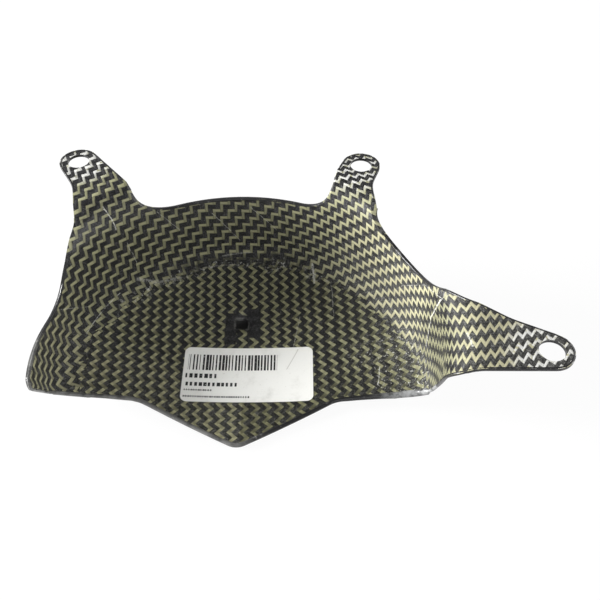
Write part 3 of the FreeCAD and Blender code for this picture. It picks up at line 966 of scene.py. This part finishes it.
@dataclass(frozen=True)
class ResinEdgeFinish:
    """Sawn edge of the laminate, sealed with clear resin, with painted highlights along it and a
    painted reflection at the low right corner.
    """

    dark: Colour = tone(30, 30, 31)
    light: Colour = tone(142, 142, 139)
    edge_highlight: Colour = tone(104, 104, 102)
    thick: Colour = tone(140, 141, 141)
    cloud: tuple[float, float, float] = (0.3, 4.0, 0.65)
    cloud_cut: Pair = (0.58, 0.74)
    edge_glint_share: float = 0.7
    edge_highlight_x: Pair = (-8.0, 14.0)
    edge_highlight_y: Pair = (-5.0, 10.0)
    edge_highlight_patches: Patches = Patches(0.17, 3.0, 0.6, 0.3, 0.56)
    run_x: Pair = (46.0, 62.0)
    run_end: float = 71.0
    run_y: Pair = (-13.0, 3.0)
    glare_patches: Patches = Patches(0.3, 3.0, 0.6, 0.26, 0.60)
    rough: Pair = (0.36, 0.5)
    specular: float = 0.3
    coat: float = 0.15
    coat_rough: float = 0.2
    relief: Pair = (0.5, 0.2)

    def material(self) -> Material:
        """Build the material.

        Returns:
            The material.
        """
        material, graph, shader = new_material("resin_edge")
        place = graph.place()
        x, y, _ = graph.split(place)
        cloud = graph.noise(place, *self.cloud)
        # Painted highlights: light patches along the edge.
        share = cloud.rise(*self.cloud_cut) * self.edge_glint_share
        # Painted highlight: grey patches on the front left of the edge.
        edge_highlight = x.fall(*self.edge_highlight_x) * y.fall(*self.edge_highlight_y) * self.edge_highlight_patches.mask(place)
        # Painted reflection: pale grey on the thick bead at the low right corner.
        run = x.rise(*self.run_x) * x.under(self.run_end) * self.glare_patches.mask(place)
        run = run * y.over(self.run_y[0]) * y.under(self.run_y[1])
        sealed = graph.tint(share, graph.tint(edge_highlight, self.dark, self.edge_highlight), self.light)
        graph.feed(shader, {"Base Color": graph.tint(run, sealed, self.thick)})
        graph.feed(shader, {"Coat Weight": self.coat, "Coat Roughness": self.coat_rough})
        rough = share.mix(*self.rough)
        graph.feed(shader, {"Roughness": rough, "Specular IOR Level": self.specular})
        graph.emboss(shader, cloud, *self.relief)
        return material


@dataclass(frozen=True)
class PrintRow:
    """A row of plain printed bars of uneven width, in millimetres."""

    start: Pair
    end: Pair
    pitch: float
    thin: float
    wide: float

    def mask(self, graph: Graph, x: Signal, y: Signal) -> Signal:
        """Mask the bars.

        Args:
            graph: The material's graph.
            x: Place along X in millimetres.
            y: Place along Y in millimetres.

        Returns:
            A mask of 0 or 1.
        """
        count = x / self.pitch
        cell = count.floor()
        inputs = {"W": cell + self.start[1]}
        dice = graph.step("ShaderNodeTexWhiteNoise", inputs, "Value", noise_dimensions="1D")
        bar = (count - cell).under(dice.mix(self.thin, self.wide))
        for value, low, high in zip((x, y), self.start, self.end):
            bar = bar * value.over(low) * value.under(high)
        return bar


@dataclass(frozen=True)
class PaperFinish:
    """White label paper, a little soiled, with rows of plain printed bars."""

    paper: Colour = tone(234, 234, 230)
    soil: Colour = tone(168, 166, 158)
    ink: Colour = tone(38, 38, 40)
    rows: tuple[PrintRow, ...] = (
        PrintRow((-21.8, 10.6), (12.6, 17.8), 1.25, 0.22, 0.85),
        PrintRow((-22.4, 6.9), (-10.6, 8.9), 1.9, 0.55, 0.8),
        PrintRow((-22.0, 3.2), (-2.6, 4.9), 1.7, 0.5, 0.8),
        PrintRow((-22.4, 1.0), (-12.0, 1.7), 0.9, 0.5, 0.85),
        PrintRow((-22.6, -2.0), (2.6, -1.2), 0.9, 0.45, 0.85),
    )
    worn: Patches = Patches(1.4, 3.0, 0.7, 0.26, 0.38)
    smudges: Patches = Patches(0.16, 5.0, 0.65, 0.50, 0.80)
    smudge_share: float = 0.30
    flecks: Patches = Patches(1.5, 3.0, 0.6, 0.66, 0.74)
    fleck_share: float = 0.5
    scratch: ScratchLine = ScratchLine((20.6, 20.0), (16.2, 11.0), 0.32, 0.7)
    scratch_bend: float = 0.4
    rough: Pair = (0.55, 0.4)
    specular: float = 0.35
    fibre: tuple[float, float, float] = (0.5, 4.0, 0.6)
    relief: Pair = (0.25, 0.08)

    def material(self, scratch: NodeTree) -> Material:
        """Build the material.

        Args:
            scratch: The scratch's group.

        Returns:
            The material.
        """
        material, graph, shader = new_material("label_paper")
        place = graph.place()
        x, y, _ = graph.split(place)
        printed: Value = 0.0
        for row in self.rows:
            printed = row.mask(graph, x, y).at_least(printed)
        printed = printed * self.worn.mask(place)
        smudge = self.smudges.mask(place)
        dirt = smudge * self.smudge_share
        dirt = dirt.at_least(self.flecks.mask(place) * self.fleck_share)
        dirt = dirt.at_least(self.scratch.mask(scratch, place, (smudge - 0.5) * self.scratch_bend))
        sheet = graph.tint(dirt, self.paper, self.soil)
        graph.feed(shader, {"Base Color": graph.tint(printed, sheet, self.ink)})
        rough = printed.mix(*self.rough)
        graph.feed(shader, {"Roughness": rough, "Specular IOR Level": self.specular})
        graph.emboss(shader, graph.noise(place, *self.fibre), *self.relief)
        return material


@dataclass
class DrumSection:
    """The moulded section at the middle of its gauge, as radius and height in millimetres."""

    dome_centre: Pair = (0.0, 291.2)
    dome_radius: float = 290.6
    dome_below: float = 20.0
    foot_centre: Pair = (60.63, 15.795)
    foot_radius: float = 8.6
    wall_low: Pair = (69.2, 15.045)
    wall_length: float = 23.236
    draft: float = math.radians(5.0)
    flare_centre: Pair = (82.579, 37.2)
    flare_radius: float = 11.4
    wall_round: float = 69.0
    lug_from: float = 72.0
    lug_blend: float = 12.0

    def locate(self, radius: float, height: float) -> tuple[float, float, float]:
        """Find a place on the section.

        Args:
            radius: Distance from the drum axis.
            height: Height above the outer dome.

        Returns:
            Distance up the section from the foot, and the section's normal as radius and height.
        """
        edge = math.atan2(self.foot_centre[0], self.dome_centre[1] - self.foot_centre[1])
        slope = math.atan2(radius, self.dome_centre[1] - height)
        if slope < edge and height < self.dome_below:
            return self.dome_radius * (slope - edge), -math.sin(slope), math.cos(slope)
        turn = math.atan2(height - self.foot_centre[1], radius - self.foot_centre[0])
        if turn < -self.draft and height < self.foot_centre[1]:
            bent = turn + math.pi / 2.0 - edge
            return self.foot_radius * bent, -math.cos(turn), -math.sin(turn)
        foot_run = self.foot_radius * (math.pi / 2.0 - edge - self.draft)
        along = (radius - self.wall_low[0]) * math.sin(self.draft)
        along += (height - self.wall_low[1]) * math.cos(self.draft)
        if along < self.wall_length:
            return foot_run + along, -math.cos(self.draft), math.sin(self.draft)
        wall_top = foot_run + self.wall_length
        if radius < self.flare_centre[0]:
            turn = math.atan2(height - self.flare_centre[1], radius - self.flare_centre[0])
            bent = math.pi - self.draft - turn
            return wall_top + self.flare_radius * bent, math.cos(turn), math.sin(turn)
        flare_run = self.flare_radius * (math.pi / 2.0 - self.draft)
        return wall_top + flare_run + radius - self.flare_centre[0], 0.0, 1.0

    def drape(self, place: Vector) -> Pair:
        """Unroll a place on the drum, with the cloth running straight out over each lug.

        Args:
            place: The place, in millimetres.

        Returns:
            Distance round the drum and up its section.
        """
        radius = math.hypot(place.x, place.y)
        bearing = math.atan2(place.x, place.y)
        up_wall = self.locate(radius, place.z)[0]
        round_drum = bearing * self.wall_round
        lugs = [math.atan2(bolt_x, bolt_y) for bolt_x, bolt_y in BOLTS_MM]
        nearest = min(lugs, key=lambda lug: abs(bearing - lug))
        share = min(max((radius - self.lug_from) / self.lug_blend, 0.0), 1.0)
        share = share * share * (3.0 - 2.0 * share)
        away = bearing - nearest
        straight = nearest * self.wall_round + radius * math.sin(away)
        shortened = radius * (math.cos(away) - 1.0)
        return round_drum + share * (straight - round_drum), up_wall + share * shortened


def plain_copy(node: str, name: str) -> tuple[Object, BMesh]:
    """Copy a solid's mesh and close its loose triangles.

    Args:
        node: The solid's node.
        name: Name of the new piece.

    Returns:
        The new object and its open mesh.
    """
    mesh = bpy.data.meshes.new(name)
    piece = bpy.data.objects.new(name, mesh)
    bpy.context.scene.collection.objects.link(piece)
    shape = bmesh.new()
    shape.from_mesh(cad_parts[node].data)
    bmesh.ops.remove_doubles(shape, verts=shape.verts, dist=WELD_MM * MM)
    for face in shape.faces:
        face.smooth = True
    return piece, shape


def close_copy(piece: Object, shape: BMesh) -> None:
    """Write a finished mesh to its piece, with sharp edges kept sharp.

    Args:
        piece: The piece.
        shape: Its open mesh, which is freed.
    """
    shape.to_mesh(piece.data)
    shape.free()
    piece.data.set_sharp_from_angle(angle=SHARP_ANGLE)


@dataclass
class Shell:
    """The moulded shell with its three lugs."""

    scratch: NodeTree
    section: DrumSection = field(default_factory=DrumSection)
    recess_half: float = 3.0
    skin_facing: float = 0.93
    cloth_facing: float = 0.45
    inner: LaminateFinish = LaminateFinish()
    outer: LaminateFinish = LaminateFinish(side=Surface.OUTER, coat=0.7, coat_rough=0.1)
    edge: ResinEdgeFinish = ResinEdgeFinish()

    def facing(self, centre: Vector, normal: Vector) -> float:
        """Tell how far a face lies along the moulded section.

        Args:
            centre: The face's middle, in millimetres.
            normal: The face's normal.

        Returns:
            1 on the inner skin, -1 on the outer skin and about 0 on a square cut.
        """
        radius = max(math.hypot(centre.x, centre.y), TINY)
        _, out, up = self.section.locate(radius, centre.z)
        return normal.dot(Vector((out * centre.x / radius, out * centre.y / radius, up)))

    def kind(self, face: BMFace) -> Surface:
        """Tell the moulded skins from the cut edges.

        Args:
            face: A face of the shell, in metres.

        Returns:
            Where the face lies.
        """
        centre = face.calc_center_median() / MM
        facing = self.facing(centre, face.normal)
        if facing < -self.skin_facing:
            return Surface.OUTER
        away = max(abs(centre.x - RECESS_MM[0]), abs(centre.y - RECESS_MM[1]))
        if facing > self.skin_facing or away < self.recess_half:
            return Surface.INNER
        return Surface.CUT

    def build(self) -> Object:
        """Copy the shell, sort its faces by surface and lay the drape on it.

        Returns:
            The piece.
        """
        piece, shape = plain_copy(SHELL_NODE, "laminate_shell")
        shape.normal_update()
        layer = shape.loops.layers.uv.new(UV_NAME)
        for face in shape.faces:
            face.material_index = self.kind(face).value
            for loop in face.loops:
                drape = self.section.drape(loop.vert.co / MM)
                loop[layer].uv = [
                    (value + shift) / UV_SPAN_MM for value, shift in zip(drape, UV_SHIFT_MM)
                ]
        close_copy(piece, shape)
        return piece

    def spread_cloth(self, piece: Object) -> None:
        """Carry the cloth over the slanted rims, once the bead has its path.

        Args:
            piece: The shell, with its faces sorted by surface.
        """
        for face in piece.data.polygons:
            if face.material_index == Surface.CUT.value:
                facing = self.facing(face.center / MM, face.normal)
                if abs(facing) > self.cloth_facing:
                    skin = Surface.INNER if facing > 0.0 else Surface.OUTER
                    face.material_index = skin.value

    def dress(self, piece: Object) -> None:
        """Give the shell its finishes and fix it to the part.

        Args:
            piece: The shell.
        """
        weave = TwillWeave().tree()
        piece.data.materials.append(self.inner.material(weave, self.scratch))
        piece.data.materials.append(self.edge.material())
        piece.data.materials.append(self.outer.material(weave, self.scratch))
        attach(piece, BODY)
        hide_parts(SHELL_NODE)


@dataclass
class EdgeSeal:
    """The bead of clear resin along the sawn edge, in millimetres, thick at the right corner."""

    radius: float = 0.8
    sink: float = 0.45
    inset: float = 0.55
    swell: float = 0.7
    slim: float = 0.72
    slim_above: float = 12.0
    swell_from: Pair = (38.0, 62.0)
    swell_right: float = 71.0
    swell_y: Pair = (-12.5, 3.0)
    ease: float = 0.25
    passes: int = 4
    sides: int = 2
    shortest: float = 32.0
    join: float = 2.0

    def rims(self, shape: BMesh) -> list[list[BMVert]]:
        """Follow each edge between the inner skin and the cut faces.

        Args:
            shape: The shell's mesh, with its faces sorted by surface.

        Returns:
            The points in order along each edge, without the short rings of the bolt holes.
        """
        pair = {Surface.INNER.value, Surface.CUT.value}
        free = {}
        for edge in shape.edges:
            if {face.material_index for face in edge.link_faces} == pair:
                free[edge] = True
        rims = []
        while free:
            edge = next(iter(free))
            del free[edge]
            walk = [edge.verts[0], edge.verts[1]]
            for _ in range(2):
                while onward := [item for item in walk[-1].link_edges if item in free]:
                    del free[onward[0]]
                    walk.append(onward[0].other_vert(walk[-1]))
                walk.reverse()
            length = sum((two.co - one.co).length for one, two in zip(walk, walk[1:])) / MM
            if length > self.shortest:
                rims.append(walk)
        return rims

    def seat(self, vert: BMVert) -> Vector:
        """Find the bead's middle at a point of the edge, a little inside the laminate.

        Args:
            vert: The point.

        Returns:
            The middle, in metres.
        """
        sums = {Surface.INNER.value: Vector(), Surface.CUT.value: Vector()}
        for face in vert.link_faces:
            if face.material_index in sums:
                sums[face.material_index] += face.normal
        up, out = (total.normalized() for total in sums.values())
        inset = self.inset * min(1.0, self.thickness(vert.co / MM))
        return vert.co - (up * self.sink + out * inset) * MM

    def lay(self, spline: Spline, walk: list[BMVert]) -> None:
        """Put one run of the bead's path along an edge.

        Args:
            spline: The empty run.
            walk: The edge's points in order.
        """
        closed = (walk[0].co - walk[-1].co).length < self.join * MM
        path = walk[:-1] if walk[0] == walk[-1] else walk
        spline.points.add(len(path) - 1)
        spline.use_cyclic_u = closed
        places = [self.seat(vert) for vert in path]
        for _ in range(self.passes):
            places = [self.eased(places, index) for index in range(len(places))]
        for point, place in zip(spline.points, places):
            point.co = (*place, 1.0)
            point.radius = self.thickness(place / MM)

    def eased(self, places: list[Vector], index: int) -> Vector:
        """Move a point of the path a little towards its neighbours' middle.

        Args:
            places: The path's points, in metres.
            index: Number of the point.

        Returns:
            The moved point.
        """
        middle = (places[index - 1] + places[(index + 1) % len(places)]) / 2.0
        shift = (middle - places[index]) / 2.0
        return places[index] + shift * min(1.0, self.ease * MM / max(shift.length, TINY * MM))

    def thickness(self, place: Vector) -> float:
        """Give the bead's thickness at a place, as a share of its usual one.

        Args:
            place: The place, in millimetres.

        Returns:
            The share.
        """
        start, full = self.swell_from
        low, high = self.swell_y
        if place.z > self.slim_above:
            return self.slim
        if low < place.y < high and place.x < self.swell_right:
            return 1.0 + self.swell * min(max((place.x - start) / (full - start), 0.0), 1.0)
        return 1.0

    def build(self, shell: Object) -> Object:
        """Sweep the bead along the shell's edge.

        Args:
            shell: The finished shell.

        Returns:
            The piece.
        """
        shape = bmesh.new()
        shape.from_mesh(shell.data)
        shape.normal_update()
        curve = bpy.data.curves.new("edge_seal_path", "CURVE")
        curve.dimensions = "3D"
        curve.bevel_depth = self.radius * MM
        curve.bevel_resolution = self.sides
        curve.use_fill_caps = True
        for walk in self.rims(shape):
            self.lay(curve.splines.new("POLY"), walk)
        shape.free()
        holder = bpy.data.objects.new("edge_seal_path", curve)
        mesh = bpy.data.meshes.new_from_object(holder)
        mesh.name = "edge_seal"
        bpy.data.objects.remove(holder)
        piece = bpy.data.objects.new("edge_seal", mesh)
        bpy.context.scene.collection.objects.link(piece)
        for face in mesh.polygons:
            face.use_smooth = True
        return piece

    def dress(self, piece: Object, edge: Material) -> None:
        """Give the bead the edge's resin and fix it to the part.

        Args:
            piece: The bead.
            edge: The edge's material.
        """
        piece.data.materials.clear()
        piece.data.materials.append(edge)
        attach(piece, BODY)


@dataclass
class Label:
    """The paper label on the inner floor."""

    scratch: NodeTree
    finish: PaperFinish = PaperFinish()

    def build(self) -> Object:
        """Copy the label's sheet.

        Returns:
            The piece.
        """
        piece, shape = plain_copy(LABEL_NODE, "label_sheet")
        close_copy(piece, shape)
        return piece

    def dress(self, piece: Object) -> None:
        """Give the label its paper and fix it to the part.

        Args:
            piece: The sheet.
        """
        piece.data.materials.append(self.finish.material(self.scratch))
        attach(piece, BODY)
        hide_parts(LABEL_NODE)


@dataclass(frozen=True)
class Lamp:
    """A soft square lamp: where it hangs and points in metres, its side, and its watts."""

    name: str
    place: tuple[float, float, float]
    aim: tuple[float, float, float]
    size: float
    power: float

    def build(self) -> None:
        """Hang the lamp."""
        lamp = bpy.data.lights.new(self.name, "AREA")
        lamp.shape = "SQUARE"
        lamp.size = self.size
        lamp.energy = self.power
        holder = bpy.data.objects.new(self.name, lamp)
        holder.location = self.place
        sight = Vector(self.aim) - Vector(self.place)
        holder.rotation_euler = sight.to_track_quat("-Z", "Y").to_euler()
        bpy.context.scene.collection.objects.link(holder)


@dataclass
class Studio:
    """Pale floor, soft lamps and the camera, in metres."""

    camera_place: tuple[float, float, float] = (0.0215, -0.163, 0.2352)
    camera_tilt: float = math.radians(42.0)
    lens: float = 45.0
    sensor: float = 36.0
    nearest: float = 0.005
    floor_half: float = 3.0
    floor_drop: float = 0.0002
    floor_colour: Colour = tone(238, 238, 238)
    floor_rough: float = 0.8
    floor_specular: float = 0.1
    floor_white: float = 0.93
    horizon: float = 0.75
    zenith: float = 0.16
    sky_fade: Pair = (0.05, 0.75)
    lamps: tuple[Lamp, ...] = (
        Lamp("key", (-0.95, 0.10, 0.30), (0.06, 0.02, 0.03), 0.4, 34.5),
        Lamp("front", (0.1, -0.7, 0.75), (0.02, 0.03, 0.02), 0.6, 3.2),
        Lamp("fill", (0.9, 0.30, 0.42), (-0.04, 0.03, 0.03), 0.9, 7.5),
    )

    def build_floor(self) -> None:
        """Lay the floor."""
        mesh = bpy.data.meshes.new("studio_floor")
        floor = bpy.data.objects.new("studio_floor", mesh)
        bpy.context.scene.collection.objects.link(floor)
        shape = bmesh.new()
        bmesh.ops.create_grid(shape, x_segments=2, y_segments=2, size=self.floor_half)
        bmesh.ops.translate(shape, verts=shape.verts, vec=(0.0, 0.0, -self.floor_drop))
        shape.to_mesh(mesh)
        shape.free()
        floor.data.materials.append(self.floor_material())

    @staticmethod
    def seen(graph: Graph, *rays: str) -> Signal:
        """Give 1 where the named kinds of ray look, and else 0.

        Args:
            graph: The graph.
            *rays: Blender's names of the kinds.

        Returns:
            A mask of 0 or 1.
        """
        found: Value = 0.0
        for ray in rays:
            found = graph.step("ShaderNodeLightPath", {}, ray).at_least(found)
        return found

    def floor_material(self) -> Material:
        """Make the floor white to the eye, with a soft shadow.

        Returns:
            The material.
        """
        material, graph, shader = new_material("pale_floor")
        graph.feed(shader, {"Base Color": self.floor_colour, "Roughness": self.floor_rough})
        graph.feed(shader, {"Specular IOR Level": self.floor_specular})
        seen = self.seen(graph, "Is Camera Ray", "Is Glossy Ray", "Is Transmission Ray")
        glow = graph.step("ShaderNodeEmission", {})
        lit = Signal(graph, shader.outputs[0])
        inputs = {0: seen * self.floor_white, 1: lit, 2: glow}
        output = next(item for item in graph.tree.nodes if item.type == "OUTPUT_MATERIAL")
        graph.feed(output, {0: graph.step("ShaderNodeMixShader", inputs)})
        return material

    def build_world(self) -> None:
        """Light softly from all round, with a white backdrop to the eye."""
        world = bpy.data.worlds.new("studio_air")
        bpy.context.scene.world = world
        world.use_nodes = True
        world.node_tree.nodes.clear()
        graph = Graph(world.node_tree)
        _, _, up = graph.split(graph.step("ShaderNodeTexCoord", {}, "Generated"))
        level = up.rise(*self.sky_fade).mix(self.horizon, self.zenith)
        seen = self.seen(graph, "Is Camera Ray", "Is Transmission Ray")
        inputs = {"Color": (1.0, 1.0, 1.0, 1.0), "Strength": seen.mix(level, 1.0)}
        sky = graph.step("ShaderNodeBackground", inputs)
        graph.feed(graph.node("ShaderNodeOutputWorld"), {0: sky})

    def build_camera(self) -> None:
        """Set the camera at the angle of the view."""
        lens = bpy.data.cameras.new("view")
        lens.lens = self.lens
        lens.sensor_width = self.sensor
        lens.clip_start = self.nearest
        camera = bpy.data.objects.new("view", lens)
        camera.location = self.camera_place
        camera.rotation_euler = (self.camera_tilt, 0.0, 0.0)
        bpy.context.scene.collection.objects.link(camera)
        bpy.context.scene.camera = camera

    def build(self) -> None:
        """Set up the whole studio."""
        bpy.context.scene.view_settings.view_transform = "Standard"
        self.build_floor()
        self.build_world()
        for lamp in self.lamps:
            lamp.build()
        self.build_camera()


def main() -> None:
    """Build every piece, dress it and report it."""
    logging.basicConfig(level=logging.INFO, format="%(name)s: %(message)s")
    Studio().build()
    scratch = ScratchLine.tree()
    pieces = []
    shell = Shell(scratch)
    for part in (shell, Label(scratch)):
        piece = part.build()
        part.dress(piece)
        pieces.append(piece)
    seal = EdgeSeal()
    bead = seal.build(pieces[0])
    shell.spread_cloth(pieces[0])
    seal.dress(bead, pieces[0].data.materials[Surface.CUT.value])
    for piece in (*pieces, bead):
        log.info("%s has %d faces", piece.name, len(piece.data.polygons))


if __name__ == "__main__":
    main()
